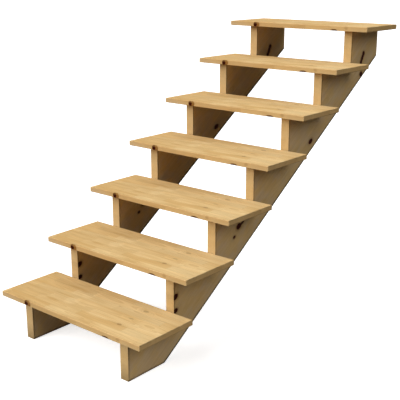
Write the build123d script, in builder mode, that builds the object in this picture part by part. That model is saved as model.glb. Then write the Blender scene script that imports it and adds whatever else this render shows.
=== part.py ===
from build123d import *
from math import atan2, cos
import os

# An open-riser outdoor staircase: plank treads laid on two cut stringers.
# X runs along the treads, Y climbs towards the wall and Z is up. The origin is the
# middle of the left stringer's rear face, which bears on the wall.

# Driving dimensions, in millimetres
tread_count = 7
rise = 172.0  # from the ground to the first tooth, and from tooth to tooth
going = 256.0  # from the front of one tooth to the front of the next
tread_width = 800.0
tread_thickness = 22.5
nosing = 40.0  # tread edge in front of the tooth that carries it
drain_gap = 2.0  # behind a tread, before the next tooth
side_overhang = 100.0  # tread end beyond a stringer's outer face
stringer_thickness = 43.0
throat = 112.0  # wood left below the corner of a notch, square to the slope
tread_edge_radius = 3.0
planed_edge_radius = 4.0  # long lower edges of a stringer
sawn_edge_chamfer = 1.5  # sanded edges along the saw cuts

# Sizes that follow from them
tread_depth = nosing + going - drain_gap
slope = rise / going
throat_drop = throat / cos(atan2(rise, going))
stringer_spacing = tread_width - 2 * side_overhang - stringer_thickness


def tooth_front(step):
    """Y of a tooth's front face. The first step is 1, and the wall is at 0."""
    return -(tread_count - step) * going - (tread_depth - nosing)


def underside_height(y):
    """Height of the stringer's sloping underside above the ground."""
    return rise + (y - tooth_front(2)) * slope - throat_drop


rear_low = underside_height(0)
rear_high = tread_count * rise
ground = -(rear_low + rear_high) / 2
foot_back = tooth_front(2) + (throat_drop - rise) / slope


def stringer_outline():
    """Side view of a stringer as (y, height above the ground)."""
    points = [(tooth_front(1), 0)]
    for step in range(1, tread_count + 1):
        tooth_back = tooth_front(step + 1) if step < tread_count else 0
        points.append((tooth_front(step), step * rise))
        points.append((tooth_back, step * rise))
    points.append((0, rear_low))
    points.append((foot_back, 0))
    return points


def make_stringer(name, centre_x):
    """A plank with the steps sawn out, a level foot and an upright rear cut."""
    side = Plane(origin=(centre_x, 0, ground), x_dir=(0, 1, 0), z_dir=(1, 0, 0))
    with BuildPart() as stringer:
        with BuildSketch(side):
            with BuildLine():
                Polyline(*stringer_outline(), close=True)
            make_face()
        extrude(amount=stringer_thickness / 2, both=True)
        outline_edges = stringer.edges().filter_by(Axis.X, reverse=True)
        planed_edges = outline_edges.filter_by(Axis.Y, reverse=True).filter_by(Axis.Z, reverse=True)
        sawn_edges = outline_edges.filter_by(lambda edge: edge not in planed_edges)
        chamfer(sawn_edges, sawn_edge_chamfer)
        lower_edges = stringer.edges().filter_by(Axis.X, reverse=True).sort_by(Edge.length)[-2:]
        fillet(lower_edges, planed_edge_radius)
    stringer.part.label = name
    return stringer.part


def make_tread(name, step):
    """A plank that lies on both teeth of a step and overhangs them at front and sides."""
    back = -(tread_count - step) * going
    seat = Plane(
        origin=(stringer_spacing / 2, back - tread_depth / 2, ground + step * rise)
    )
    with BuildPart() as tread:
        with BuildSketch(seat):
            Rectangle(tread_width, tread_depth)
        extrude(amount=tread_thickness)
        fillet(tread.edges(), tread_edge_radius)
    tread.part.label = name
    return tread.part


pieces = [
    make_stringer("left_stringer", 0),
    make_stringer("right_stringer", stringer_spacing),
]
for step in range(1, tread_count + 1):
    pieces.append(make_tread(f"tread_{step}", step))

os.makedirs("parts", exist_ok=True)
for piece in pieces:
    export_step(piece, f"parts/{piece.label}.step")
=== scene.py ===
import math

import bmesh
import bpy
from mathutils import Matrix, Vector, noise


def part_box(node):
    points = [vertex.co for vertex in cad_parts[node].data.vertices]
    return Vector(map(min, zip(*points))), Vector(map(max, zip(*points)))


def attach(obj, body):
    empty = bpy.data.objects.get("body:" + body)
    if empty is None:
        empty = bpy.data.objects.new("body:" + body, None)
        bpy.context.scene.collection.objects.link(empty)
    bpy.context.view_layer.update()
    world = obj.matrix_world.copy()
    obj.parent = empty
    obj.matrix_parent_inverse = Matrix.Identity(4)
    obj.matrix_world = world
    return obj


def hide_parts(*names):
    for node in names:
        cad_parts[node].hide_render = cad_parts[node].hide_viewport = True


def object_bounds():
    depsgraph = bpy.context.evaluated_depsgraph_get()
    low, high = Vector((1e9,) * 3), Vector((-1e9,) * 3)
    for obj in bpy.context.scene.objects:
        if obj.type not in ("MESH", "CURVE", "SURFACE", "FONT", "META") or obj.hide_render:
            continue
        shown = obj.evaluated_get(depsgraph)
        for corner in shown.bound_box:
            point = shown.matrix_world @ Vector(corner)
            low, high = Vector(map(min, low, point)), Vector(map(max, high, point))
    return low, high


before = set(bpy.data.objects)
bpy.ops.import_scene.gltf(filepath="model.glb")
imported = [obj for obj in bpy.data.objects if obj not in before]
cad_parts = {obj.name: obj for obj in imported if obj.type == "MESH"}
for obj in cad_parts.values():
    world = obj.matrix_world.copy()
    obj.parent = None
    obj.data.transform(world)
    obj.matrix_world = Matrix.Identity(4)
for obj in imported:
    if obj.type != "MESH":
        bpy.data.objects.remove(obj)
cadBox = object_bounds()
print("frame loaded:", len(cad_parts), "boards")

mm = 0.001
treadNames = sorted(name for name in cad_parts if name.startswith("tread"))
stringerNames = sorted(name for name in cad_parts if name.endswith("stringer"))
lowTread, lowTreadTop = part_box(treadNames[0])
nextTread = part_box(treadNames[1])[0]
rise = nextTread.z - lowTread.z
going = nextTread.y - lowTread.y
slope = math.atan2(rise, going)
treadSize = lowTreadTop - lowTread
ground = cadBox[0][2]


# A socket in a sum: an expression on signals and numbers adds the nodes it needs
class Signal:
    def __init__(self, socket):
        self.socket = socket

    def node(self, kind, settings, sockets, output=0):
        tree = self.socket.id_data
        made = tree.nodes.new(kind)
        for name, value in settings.items():
            setattr(made, name, value)
        for name, value in sockets.items():
            if isinstance(value, Signal):
                tree.links.new(value.socket, made.inputs[name])
            else:
                made.inputs[name].default_value = value
        return Signal(made.outputs[output]) if made.outputs else None

    def other(self, output):
        return Signal(self.socket.node.outputs[output])

    def math(self, operation, *others):
        return self.node("ShaderNodeMath", {"operation": operation}, dict(enumerate((self, *others))))

    def __add__(self, value):
        return self.math("ADD", value)

    __radd__ = __add__

    def __sub__(self, value):
        return self.math("SUBTRACT", value)

    def __rsub__(self, value):
        return self.node("ShaderNodeMath", {"operation": "SUBTRACT"}, {0: value, 1: self})

    def __mul__(self, value):
        return self.math("MULTIPLY", value)

    __rmul__ = __mul__

    def __truediv__(self, value):
        return self.math("DIVIDE", value)

    def __pow__(self, value):
        return self.math("POWER", value)


def split(vector):
    x = vector.node("ShaderNodeSeparateXYZ", {}, {0: vector})
    return x, x.other(1), x.other(2)


def join(x, y, z):
    first = next(value for value in (x, y, z) if isinstance(value, Signal))
    return first.node("ShaderNodeCombineXYZ", {}, {0: x, 1: y, 2: z})


# 0 below low and 1 above high, or the other way round when low is the larger
def ramp(value, low, high):
    settings = {"interpolation_type": "SMOOTHSTEP"}
    return value.node("ShaderNodeMapRange", settings, {"Value": value, "From Min": low, "From Max": high})


# A cloud between -1 and 1 whose cells measure size, in mm, along each axis
def cloud(x, y, z, size, detail=2.0, rough=0.5):
    sockets = {"Vector": join(x / size[0], y / size[1], z / size[2]), "Scale": 1.0,
               "Detail": detail, "Roughness": rough}
    return x.node("ShaderNodeTexNoise", {}, sockets) * 2 - 1


def length(x, y, z=None):
    total = x * x + y * y
    if z is not None:
        total = total + z * z
    return total.math("SQRT")


def mixColour(factor, first, second, blend="MIX"):
    settings = {"data_type": "RGBA", "blend_type": blend}
    signal = next(value for value in (factor, first, second) if isinstance(value, Signal))
    return signal.node("ShaderNodeMix", settings, {0: factor, 6: first, 7: second}, output=2)


def darken(colour, shade):
    return mixColour(1.0, colour, join(shade, shade, shade), blend="MULTIPLY")


# A colour as a screen shows it, 0 to 255, taken to the shader's linear scale
def paint(red, green, blue):
    linear = [((value / 255 + 0.055) / 1.055) ** 2.4 for value in (red, green, blue)]
    return (*linear, 1.0)


timber = {
    "pale": paint(237, 206, 150),
    "warm": paint(213, 173, 111),
    "latewood": paint(192, 147, 90),
    "endGrain": paint(205, 168, 112),
    "knotBrown": paint(120, 74, 24),
    "knotBlack": paint(50, 8, 0),
    # the dark colour of the treads' darker arrises and of the shade painted on the stringers
    "darkArrisAndPaintedShade": paint(74, 63, 48),
    "weathered": paint(196, 176, 152),
    "knotRings": 4.3,       # year rings in a knot, from its middle to its rim
    "gloss": 0.005,
}


# The piece's object coordinates in mm, counted from a corner and turned about the X axis
def startMaterial(name, corner, turn=0.0):
    material = bpy.data.materials.new(name)
    material.use_nodes = True
    tree = material.node_tree
    tree.nodes.clear()
    place = Signal(tree.nodes.new("ShaderNodeTexCoord").outputs["Object"])
    shift = Matrix.Rotation(turn, 3, "X") @ Vector(corner) / -mm
    sockets = {"Vector": place, "Location": shift, "Rotation": (turn, 0, 0), "Scale": (1 / mm,) * 3}
    local = place.node("ShaderNodeMapping", {"vector_type": "POINT"}, sockets)
    return material, local, place.other("Normal")


# height is in mm
def finishMaterial(colour, roughness, height):
    bump = height.node("ShaderNodeBump", {}, {"Strength": 1.0, "Distance": mm, "Height": height})
    sockets = {"Base Color": colour, "Roughness": roughness, "Normal": bump,
               "Specular IOR Level": timber["gloss"]}
    shader = height.node("ShaderNodeBsdfPrincipled", {}, sockets)
    height.node("ShaderNodeOutputMaterial", {}, {"Surface": shader})


# Year rings round a pith line: slow pale earlywood, then a narrow dark latewood line
def yearRings(radius, spacing):
    uneven = cloud(radius, radius * 0, radius * 0 + 3.1, (spacing * 3.5, 1, 1), detail=1.0)
    phase = ((radius + uneven * spacing * 0.6) / spacing).math("FRACT")
    return (phase ** 2.6) * ramp(phase, 1.0, 0.93)


# Distance from a knot's middle, 1 at its rim
def knotDistance(dx, dy, half, dz=None):
    if dz is None:
        return length(dx / half[0], dy / half[1])
    return length(dx / half[0], dy / half[1], dz / half[2])


def combine(operation, signals):
    total = signals[0]
    for signal in signals[1:]:
        total = total.math(operation, signal)
    return total


def strongest(signals):
    return combine("MAXIMUM", signals)


# A knot's own year rings, from the distances to every knot
def knotRings(distances):
    return (combine("MINIMUM", distances) * timber["knotRings"]).math("FRACT") ** 2.0


# Treads: edge-glued staves, each of finger-jointed lengths with its own rings
treadLook = {
    "stave": 42.0,          # mm across
    "lengths": 250.0,       # mm between finger joints in a stave
    "fingerPitch": 5.5,
    "fingerDepth": 8.0,
    "ringSpacing": 3.1,
    "pithAside": 44.0,      # mm over which the piths are strewn, across a stave
    "pithNearest": 19.0,    # mm above or below the middle of the board
    "pithSpread": 34.0,
    # painted shade: the highest board's top, back and ends are made warmer and darker, to offset the extra
    # sky light that board gets
    "topTreadPaintedShade": 0.15,       # how much warmer the highest board is
    "edgeBrown": 0.3,
    "edgeGrey": 0.22,       # at the left end of the long edges
    "endGrain": 0.8,
    "handled": 0.26,
    # how dark the back and end arrises are made
    "darkArrisAndPaintedShade": 0.44,
    "seams": 0.3,
    # at is in mm from the tread's front left lower corner, half is half a knot's size
    "knots": [
        {"at": (169, 0, 11), "half": (17, 10, 14), "brown": 0.92, "black": 0.0},
        {"at": (159, -1, 11), "half": (11, 9, 14), "brown": 0.9, "black": 1.0},
        {"at": (622, 0, 1), "half": (20, 9, 7), "brown": 0.75, "black": 0.7},
        {"at": (688, 0, 14), "half": (9, 5, 7), "brown": 0.28, "black": 0.0},
        {"at": (612, 84, 22), "half": (12, 7, 40), "brown": 0.42, "black": 0.0},
        {"at": (609, 234, 22), "half": (13, 8, 40), "brown": 0.34, "black": 0.0},
        {"at": (611, 150, 22), "half": (12, 5, 30), "brown": 0.3, "black": 0.0},
    ],
    # soft patches, warmer where shift is above 0: at is in mm from the front left corner
    "patches": [
        {"at": (225, 82), "half": (46, 11), "shift": 0.55},
        {"at": (216, 226), "half": (62, 10), "shift": 0.45},
        {"at": (265, 143), "half": (110, 5), "shift": 0.45},
        {"at": (495, 28), "half": (80, 24), "shift": 0.35},
        {"at": (520, 104), "half": (90, 7), "shift": 0.3},
        {"at": (30, 150), "half": (60, 170), "shift": 0.12},
        {"at": (304, 120), "half": (44, 40), "shift": -0.5},
        {"at": (318, 205), "half": (36, 40), "shift": -0.4},
        {"at": (490, 82), "half": (90, 11), "shift": -0.5},
        {"at": (720, 150), "half": (90, 160), "shift": -0.2},
    ],
}


def makeTreadWood():
    look = treadLook
    material, local, normal = startMaterial("tread_wood_grain", lowTread)
    x, y, z = split(local)
    width, depth, thick = (size / mm for size in treadSize)

    # every tread is counted from its own corner
    tread = ((z + rise / mm / 2) / (rise / mm)).math("FLOOR")
    y = y - tread * (going / mm)
    z = z - tread * (rise / mm)

    row = (y / look["stave"]).math("FLOOR")
    rowRandom = row.node("ShaderNodeTexWhiteNoise", {"noise_dimensions": "2D"},
                         {"Vector": join(row, 4.0, 0.0)})
    fingers = (((y / look["fingerPitch"]).math("FRACT") - 0.5).math("ABSOLUTE")) * (2 * look["fingerDepth"])
    along = (x + fingers) / look["lengths"] + rowRandom
    block = along.math("FLOOR")
    blockRandom = row.node("ShaderNodeTexWhiteNoise", {"noise_dimensions": "3D"},
                           {"Vector": join(row, block, 7.0)}, output=1)
    toneRandom, sideRandom, depthRandom = split(blockRandom)

    # the pith of each length lies above or below the board, and is never quite straight
    above = sideRandom.math("GREATER_THAN", 0.5) * 2 - 1
    sway = cloud(x, y, z, (170, 60, 60), detail=1.0)
    across = y - (row + 0.5) * look["stave"] + (toneRandom - 0.5) * look["pithAside"] + sway * 7
    across = across + (x - width / 2) * (depthRandom - 0.5) * 0.05
    bow = cloud(x, y, z, (260, 90, 90), detail=1.0)
    deep = z - thick / 2 + above * (depthRandom * look["pithSpread"] + look["pithNearest"]) + bow * 8

    # knots: brown wood, black bark round the dead ones, and rings that flow past them
    ragged = cloud(x, y, z, (6.0, 3.5, 3.5), detail=2.0) * 0.28
    distances, brown, black, bulge = [], [], [], []
    for knot in look["knots"]:
        dx, dy, dz = x - knot["at"][0], y - knot["at"][1], z - knot["at"][2]
        distance = knotDistance(dx, dy, knot["half"], dz) + ragged
        distances.append(distance)
        brown.append(ramp(distance, 1.12, 0.86) * knot["brown"])
        if knot["black"]:
            black.append(ramp(distance, 1.05, 0.8) * knot["black"])
        reach = [size * 2.1 for size in knot["half"]]
        reach[0] *= 2.2
        bulge.append(ramp(knotDistance(dx, dy, reach, dz), 1.0, 0.0) * (knot["half"][0] * 0.8))
    brown = strongest(brown)
    black = strongest(black)
    flow = strongest(bulge)

    radius = length(across, deep) + flow
    rings = yearRings(radius, look["ringSpacing"])
    fibres = cloud(x, y, z, (160, 1.6, 1.6), detail=2.0, rough=0.6)
    hair = cloud(x, y, z, (30, 0.45, 0.45), detail=1.0)
    patches = cloud(x, y, z, (240, 26, 26), detail=2.0)
    streaks = ramp(cloud(x, y + tread * 37, z, (90, 3.2, 3.2), detail=1.0), 0.3, 0.65)
    bands = cloud(x, y, z, (110, 8, 12), detail=2.0)

    nx, ny = split(normal)[:2]
    front = ramp(ny, -0.6, -0.85)
    tone = (toneRandom - 0.5) * 0.7 + 0.5 + patches * 0.5 - front * 0.22
    # painted shade on the highest tread, which sees more of the sky than the lower ones
    tone = tone + tread.math("GREATER_THAN", len(treadNames) - 1.5) * (1 - front) * look["topTreadPaintedShade"]
    for patch in look["patches"]:
        reach = knotDistance(x - patch["at"][0], y - patch["at"][1], patch["half"])
        tone = tone + ramp(reach + ragged, 1.1, 0.3) * patch["shift"]
    colour = mixColour(tone, timber["pale"], timber["warm"])
    colour = mixColour(rings * (0.45 - front * 0.2), colour, timber["latewood"])
    shade = 1.02 + fibres * 0.1 + hair * 0.05 + (depthRandom - 0.5) * 0.12 - streaks * 0.2 - flow * 0.008
    shade = shade + bands * 0.1 - front * 0.03
    colour = darken(colour, shade)

    # the long edges, darker than the faces and greyer to the left, and the end grain
    edges = ramp(ny.math("ABSOLUTE"), 0.6, 0.85)
    colour = mixColour(edges * look["edgeBrown"], colour, timber["knotBrown"])
    colour = mixColour(edges * ramp(x, 170.0, 20.0) * look["edgeGrey"], colour, timber["weathered"])
    ends = ramp(nx.math("ABSOLUTE"), 0.6, 0.85)
    endColour = mixColour(rings * 0.6, timber["endGrain"], timber["latewood"])
    colour = mixColour(ends * look["endGrain"], colour, endColour)

    inside = knotRings(distances)
    knotColour = mixColour(inside * 0.3, timber["knotBrown"], timber["latewood"])
    colour = mixColour(brown, colour, knotColour)
    colour = mixColour(black * (1 - inside * 0.06), colour, timber["knotBlack"])

    # a front arris darkened by use, and the back and end arrises darker
    handled = ramp(y, 13.0, 3.0) * ramp(z, 12.0, 19.0)
    colour = mixColour(handled * (look["handled"] + patches * 0.15), colour, timber["latewood"])
    endGap = width / 2 - (x - width / 2).math("ABSOLUTE")
    backGap = depth - y
    topGap = thick / 2 - (z - thick / 2).math("ABSOLUTE")
    darkArrisesAndPaintedShade = ramp(endGap, 5.0, 0.5).math("MAXIMUM", ramp(backGap, 6.0, 0.5)) * ramp(topGap, 5.0, 0.0)
    colour = mixColour(darkArrisesAndPaintedShade * (look["darkArrisAndPaintedShade"] + patches * 0.25), colour, timber["darkArrisAndPaintedShade"])

    # hairline seams between staves and at the finger joints
    edge = 0.5 - ((y / look["stave"]).math("FRACT") - 0.5).math("ABSOLUTE")
    seam = ramp(edge * look["stave"], 0.45, 0.1)
    jointEdge = 0.5 - (along.math("FRACT") - 0.5).math("ABSOLUTE")
    seam = seam.math("MAXIMUM", ramp(jointEdge * look["lengths"], 0.4, 0.1)) * (1 - edges)
    colour = mixColour(seam * look["seams"], colour, timber["knotBrown"])

    height = rings * 0.05 + fibres * 0.03 + hair * 0.02 - seam * 0.12 - black * 0.35 + brown * 0.15
    roughness = 0.56 + fibres * 0.05 - rings * 0.06 + ends * 0.14 - brown * 0.12
    finishMaterial(colour, roughness, height)
    return material


# Stringers: one wide plank each, grain along the slope, dead knots right through it
stringerLook = {
    "underside": -113.0,    # mm from the foot's front corner, square to the grain
    "pith": (14.0, -165.0),    # mm up the plank's width, and from its middle towards the left
    "ringSpacing": 3.6,
    "shade": 0.76,
    "sideShade": 0.115,     # how much lighter the planed sides are
    "sideGrey": 0.36,
    "sideHalo": 0.36,       # brown wood round a dead knot
    # on the teeth's fronts: brown under each nosing, and weathering all over
    "fronts": {
        "left_stringer": {"stain": 0.12, "grey": 0.16},
        "right_stringer": {"stain": 0.0, "grey": 0.05},
    },
    # behind and up are in mm from the foot's front corner, lean is in degrees from level,
    # half is half a knot's size along and across its lean
    "knots": [
        {"behind": 266, "up": 258, "half": (16, 11.5), "lean": 30, "black": 1.0},
        {"behind": 265, "up": 199, "half": (14, 10), "lean": 20, "black": 1.0},
        {"behind": 668, "up": 448, "half": (17, 13), "lean": 25, "black": 1.0},
        {"behind": 690, "up": 457, "half": (20, 5.5), "lean": 28, "black": 0.95},
        {"behind": 638, "up": 407, "half": (9, 6.5), "lean": 20, "black": 0.95},
        {"behind": 1204, "up": 725, "half": (17, 11), "lean": 25, "black": 1.0},
        {"behind": 1641, "up": 991, "half": (14, 13), "lean": 0, "black": 1.0},
        {"behind": 1646, "up": 1070, "half": (25, 10.5), "lean": 62, "black": 1.0},
        {"behind": 1656, "up": 1090, "half": (12, 12), "lean": 0, "black": 1.0},
        {"behind": 1636, "up": 1050, "half": (14, 10.5), "lean": 62, "black": 1.0},
    ],
}


def makeStringerWood(name):
    look = stringerLook
    low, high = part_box(name)
    corner = Vector(((low.x + high.x) / 2, low.y, ground))
    material, local, normal = startMaterial(name + "_grain", corner, -slope)
    w, u, v = split(local)

    # dead knots, with browner wood round them and rings that flow past
    ragged = cloud(u, v, w, (5, 4, 6), detail=1.0) * 0.16
    distances, black, halo, bulge = [], [], [], []
    for knot in look["knots"]:
        knotU = knot["behind"] * math.cos(slope) + knot["up"] * math.sin(slope)
        knotV = knot["up"] * math.cos(slope) - knot["behind"] * math.sin(slope)
        lean = math.radians(knot["lean"]) - slope
        du, dv = u - knotU, v - knotV
        dx = du * math.cos(lean) + dv * math.sin(lean)
        dy = dv * math.cos(lean) - du * math.sin(lean)
        distance = knotDistance(dx, dy, knot["half"]) + ragged
        distances.append(distance)
        black.append(ramp(distance, 1.1, 0.85) * knot["black"])
        halo.append(ramp(distance, 1.9, 0.9))
        reach = knotDistance(du, dv, (knot["half"][0] * 5, knot["half"][0] * 2.4))
        bulge.append(ramp(reach, 1.0, 0.0) * 9)
    black = strongest(black)
    halo = strongest(halo)
    flow = strongest(bulge)

    across = v - look["pith"][0] + cloud(u, v, w, (420, 160, 160), detail=1.0) * 26
    deep = w - look["pith"][1] + cloud(u, v, w, (300, 120, 120), detail=1.0) * 9
    radius = length(across, deep) + u * 0.014 + flow
    rings = yearRings(radius, look["ringSpacing"])
    fibres = cloud(u, v, w, (220, 2.2, 2.2), detail=2.0, rough=0.6)
    hair = cloud(u, v, w, (40, 0.5, 0.5), detail=1.0)
    patches = cloud(u, v, w, (330, 60, 60), detail=3.0)

    # the sides are greyer than the teeth's fronts
    nx, ny, nz = split(normal)
    sides = ramp(nx.math("ABSOLUTE"), 0.5, 0.9)
    fronts = ramp(ny, -0.6, -0.85)

    colour = mixColour(0.55 + patches * 0.6 + fronts * 0.12, timber["pale"], timber["warm"])
    colour = mixColour(rings * (0.4 - sides * 0.2), colour, timber["latewood"])
    blotches = cloud(u, v, w, (75, 48, 60), detail=3.0)
    bands = cloud(u, v, w, (150, 9, 12), detail=2.0)
    grey = sides * ramp(blotches, -0.25, 0.3) * look["sideGrey"] + fronts * look["fronts"][name]["grey"]
    colour = mixColour(grey, colour, timber["weathered"])
    shade = look["shade"] + fibres * 0.08 + hair * 0.05 + patches * 0.06 + blotches * 0.1
    shade = shade + bands * (0.05 + sides * 0.05) + sides * (look["sideShade"] - flow * 0.012)
    shade = shade + fronts * 0.03
    colour = darken(colour, shade)
    colour = mixColour(halo * (0.04 + sides * look["sideHalo"]), colour, timber["knotBrown"])
    inside = knotRings(distances)
    colour = mixColour(black * (0.06 + sides * 0.94) * (1 - inside * 0.05), colour, timber["knotBlack"])

    # a stain under each nosing, and painted shade: a dark band along the underside, contact shade at the
    # foot, darker strips in the steps' corners and a dark line just under each tread
    behind = u * math.cos(slope) - v * math.sin(slope)
    up = u * math.sin(slope) + v * math.cos(slope)
    outer = ramp(w.math("ABSOLUTE"), 15.0, 20.0)
    step = (behind / (going / mm)).math("FRACT") * (going / mm)
    under = (up / (rise / mm)).math("FRACT") * (rise / mm)
    stain = ramp(under, rise / mm - 40, rise / mm - 4) * fronts * look["fronts"][name]["stain"]
    colour = mixColour(stain, colour, timber["knotBrown"])
    inSteps = sides * ramp(v, 2.0, 14.0)
    # painted shade along the underside, at the foot, in the steps' corners and under each tread
    darkArrisesAndPaintedShade = strongest([ramp(v - look["underside"] + bands * 4, 16.0, 5.0),
                      ramp(up + bands * 4, 12.0, 2.0) * 0.8,
                      ramp(step, 12.0, 1.0) * inSteps * 0.5,
                      ramp(under, rise / mm - 9, rise / mm - 1) * inSteps * 0.6])
    colour = mixColour(darkArrisesAndPaintedShade * outer, colour, timber["darkArrisAndPaintedShade"])

    # saw marks on the teeth, the foot and the rear
    sawn = (1 - sides) * ramp(nz * math.cos(slope) - ny * math.sin(slope), -0.97, -0.9)
    kerf = cloud(u, v, w, (400, 400, 1.3), detail=1.0)

    height = rings * 0.07 + fibres * 0.04 + hair * 0.02 - black * 0.5 + sawn * kerf * 0.12
    roughness = 0.58 + fibres * 0.05 - rings * 0.05 + sawn * 0.1 - black * 0.1
    finishMaterial(colour, roughness, height)
    return material


# Boards: the frame's own solids with worn arrises and drying checks
boardWork = {
    "treadSlices": 30.0,    # mm
    "stringerSlices": 45.0,
    "arrisWear": 0.45,      # mm at most
    "wearLength": 26.0,     # mm over which the wear changes
    "checkWidth": 0.9,
    "checkMouth": 3.3,      # mm of the rounded end that a check draws in
    "checkTaper": 9.0,
    "checks": [(58, 14), (133, 9), (221, 17)],    # mm from the tread's front, and how deep
    "treadSeeds": 5.3,      # from board to board, so that no two wear alike
    "stringerSeeds": (60.0, 9.1),    # the first, and from board to board
}


def slicePlane(board, point, direction):
    everything = [*board.verts, *board.edges, *board.faces]
    bmesh.ops.bisect_plane(board, geom=everything, dist=0.001 * mm, plane_co=point, plane_no=direction)


def loadBoard(name):
    board = bmesh.new()
    board.from_mesh(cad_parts[name].data)
    bmesh.ops.remove_doubles(board, verts=board.verts, dist=0.01 * mm)
    bmesh.ops.dissolve_limit(board, angle_limit=math.radians(0.5), verts=board.verts, edges=board.edges)
    return board


# Rounds the arrises unevenly, as handling does
def wearArrises(board, seed):
    board.normal_update()
    moves = []
    for vert in board.verts:
        spread = min((first.normal.dot(second.normal) for first in vert.link_faces
                      for second in vert.link_faces), default=1.0)
        if spread < 0.97:
            place = vert.co / (boardWork["wearLength"] * mm) + Vector((seed, 0, 0))
            amount = 0.5 + 0.5 * noise.noise(place)
            moves.append((vert, vert.normal * (-amount * boardWork["arrisWear"] * mm)))
    for vert, move in moves:
        vert.co += move


def finishBoard(board, name, material):
    mesh = bpy.data.meshes.new(name + "_board")
    board.to_mesh(mesh)
    board.free()
    for face in mesh.polygons:
        face.use_smooth = True
    mesh.set_sharp_from_angle(angle=math.radians(50))
    piece = bpy.data.objects.new(name + "_board", mesh)
    bpy.context.scene.collection.objects.link(piece)
    mesh.materials.append(material)
    weighted = piece.modifiers.new("flat faces stay flat", "WEIGHTED_NORMAL")
    weighted.keep_sharp = True
    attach(piece, "root")
    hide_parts(name)


def makeTread(name, material, seed):
    low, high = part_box(name)
    board = loadBoard(name)
    count = int((high.x - low.x) / mm / boardWork["treadSlices"])
    for index in range(1, count):
        slicePlane(board, (low.x + (high.x - low.x) * index / count, 0, 0), (1, 0, 0))
    half = boardWork["checkWidth"] * mm / 2
    checks = [(low.y + place * mm, depth * mm) for place, depth in boardWork["checks"]]
    for place, depth in checks:
        for offset in (-half, 0, half):
            slicePlane(board, (0, place + offset, 0), (0, 1, 0))
    wearArrises(board, seed)

    # drying checks open from both ends: the middle cut of three is drawn into the wood
    for vert in board.verts:
        for place, depth in checks:
            if abs(vert.co.y - place) > half / 2:
                continue
            for end, inward in ((low.x, 1), (high.x, -1)):
                reach = abs(vert.co.x - end)
                if reach < boardWork["checkMouth"] * mm:
                    vert.co.x += inward * depth * (1 - reach / (boardWork["checkTaper"] * mm))
    finishBoard(board, name, material)


def makeStringer(name, material, seed):
    low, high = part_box(name)
    board = loadBoard(name)
    run = Vector((0, math.cos(slope), math.sin(slope)))
    start = Vector((0, low.y, low.z))
    reach = (Vector((0, high.y, high.z)) - start).dot(run)
    count = int(reach / mm / boardWork["stringerSlices"])
    for index in range(1, count):
        slicePlane(board, start + run * (reach * index / count), run)
    wearArrises(board, seed)
    finishBoard(board, name, material)


treadWood = makeTreadWood()
for index, name in enumerate(treadNames):
    makeTread(name, treadWood, index * boardWork["treadSeeds"])
print("treads dressed:", len(treadNames))

firstSeed, seedStep = boardWork["stringerSeeds"]
for index, name in enumerate(stringerNames):
    makeStringer(name, makeStringerWood(name), firstSeed + index * seedStep)
print("stringers dressed:", len(stringerNames))


# Stage: a pale floor that looks white to the camera but keeps the stair's shadow
stageSet = {
    "floorSize": 120.0,     # metres
    "floorTone": 0.085,     # what the floor sends back to the stair
    "feetTone": 0.3,        # the same close to the feet
    "feetAt": (0.28, -1.85),
    "feetReach": (1.2, 0.2),    # metres from there where the feet's tone starts and is full
    "seenTone": 0.9,        # what the camera sees of the floor
    "seenGlow": 0.68,
    "ambient": (1.0, 0.98, 0.95, 1.0),
    "ambientStrength": 0.09,
    # each lamp's strength, width, height above the floor and turn from straight in front, in degrees
    "lamps": {
        "key": {"strength": 3.36, "width": 60, "height": 32, "turn": -25},
        "fill": {"strength": 0.9, "width": 40, "height": 35, "turn": 88},
        "back": {"strength": 0.5, "width": 40, "height": 55, "turn": -140},
    },
}


# 1 for what the camera sees, straight or in gloss or glass
def seenByCamera(tree):
    path = Signal(tree.nodes.new("ShaderNodeLightPath").outputs["Is Camera Ray"])
    return strongest([path, path.other("Is Glossy Ray"), path.other("Is Transmission Ray")])


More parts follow.
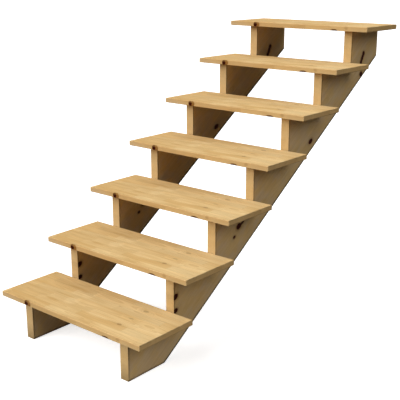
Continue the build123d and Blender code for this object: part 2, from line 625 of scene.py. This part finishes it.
def makeFloor():
    plane = bmesh.new()
    bmesh.ops.create_grid(plane, x_segments=1, y_segments=1, size=stageSet["floorSize"] / 2)
    bmesh.ops.translate(plane, verts=plane.verts, vec=(0, 0, ground))
    mesh = bpy.data.meshes.new("floor")
    plane.to_mesh(mesh)
    plane.free()
    floor = bpy.data.objects.new("floor", mesh)
    bpy.context.scene.collection.objects.link(floor)
    material = bpy.data.materials.new("pale_floor")
    material.use_nodes = True
    material.node_tree.nodes.clear()
    shown = seenByCamera(material.node_tree)
    tone, close, seen = stageSet["floorTone"], stageSet["feetTone"], stageSet["seenTone"]
    place = shown.node("ShaderNodeTexCoord", {}, {}, output="Object")
    gap = shown.node("ShaderNodeVectorMath", {"operation": "DISTANCE"},
                     {0: place, 1: (*stageSet["feetAt"], ground)}, output="Value")
    far = shown.node("ShaderNodeBsdfDiffuse", {}, {"Color": (tone, tone, tone, 1)})
    near = shown.node("ShaderNodeBsdfDiffuse", {}, {"Color": (close, close, close, 1)})
    around = ramp(gap, *stageSet["feetReach"])
    plain = shown.node("ShaderNodeMixShader", {}, {0: around, 1: far, 2: near})
    pale = shown.node("ShaderNodeBsdfDiffuse", {}, {"Color": (seen, seen, seen, 1)})
    glow = shown.node("ShaderNodeEmission", {}, {"Strength": stageSet["seenGlow"]})
    white = shown.node("ShaderNodeAddShader", {}, {0: pale, 1: glow})
    surface = shown.node("ShaderNodeMixShader", {}, {0: shown, 1: plain, 2: white})
    shown.node("ShaderNodeOutputMaterial", {}, {"Surface": surface})
    mesh.materials.append(material)


def makeLight():
    world = bpy.data.worlds.new("soft_white")
    bpy.context.scene.world = world
    world.use_nodes = True
    world.node_tree.nodes.clear()
    shown = seenByCamera(world.node_tree)
    soft = shown.node("ShaderNodeBackground", {},
                      {"Color": stageSet["ambient"], "Strength": stageSet["ambientStrength"]})
    white = shown.node("ShaderNodeBackground", {}, {"Color": (1, 1, 1, 1), "Strength": 1.0})
    surface = shown.node("ShaderNodeMixShader", {}, {0: shown, 1: soft, 2: white})
    shown.node("ShaderNodeOutputWorld", {}, {"Surface": surface})

    for name, lamp in stageSet["lamps"].items():
        sun = bpy.data.lights.new(name, "SUN")
        sun.energy = lamp["strength"]
        sun.angle = math.radians(lamp["width"])
        light = bpy.data.objects.new(name, sun)
        light.rotation_euler = (math.radians(90 - lamp["height"]), 0, math.radians(lamp["turn"]))
        bpy.context.scene.collection.objects.link(light)


# Camera: where the photograph was taken from
cameraSet = {
    "place": (2.516, -3.677, 0.355),
    "heading": 40.09,       # degrees to the left of straight ahead
    "pitch": -16.16,
    "lens": 72.04,          # mm
    "sensor": 36.0,
    "farthest": 500.0,      # metres
}


def makeCamera():
    lens = bpy.data.cameras.new("camera")
    lens.lens = cameraSet["lens"]
    lens.sensor_width = cameraSet["sensor"]
    lens.clip_end = cameraSet["farthest"]
    camera = bpy.data.objects.new("camera", lens)
    camera.location = cameraSet["place"]
    camera.rotation_euler = (math.radians(90 + cameraSet["pitch"]), 0, math.radians(cameraSet["heading"]))
    bpy.context.scene.collection.objects.link(camera)
    bpy.context.scene.camera = camera


makeFloor()
makeLight()
makeCamera()
bpy.context.scene.view_settings.view_transform = "Standard"
print("stage set")
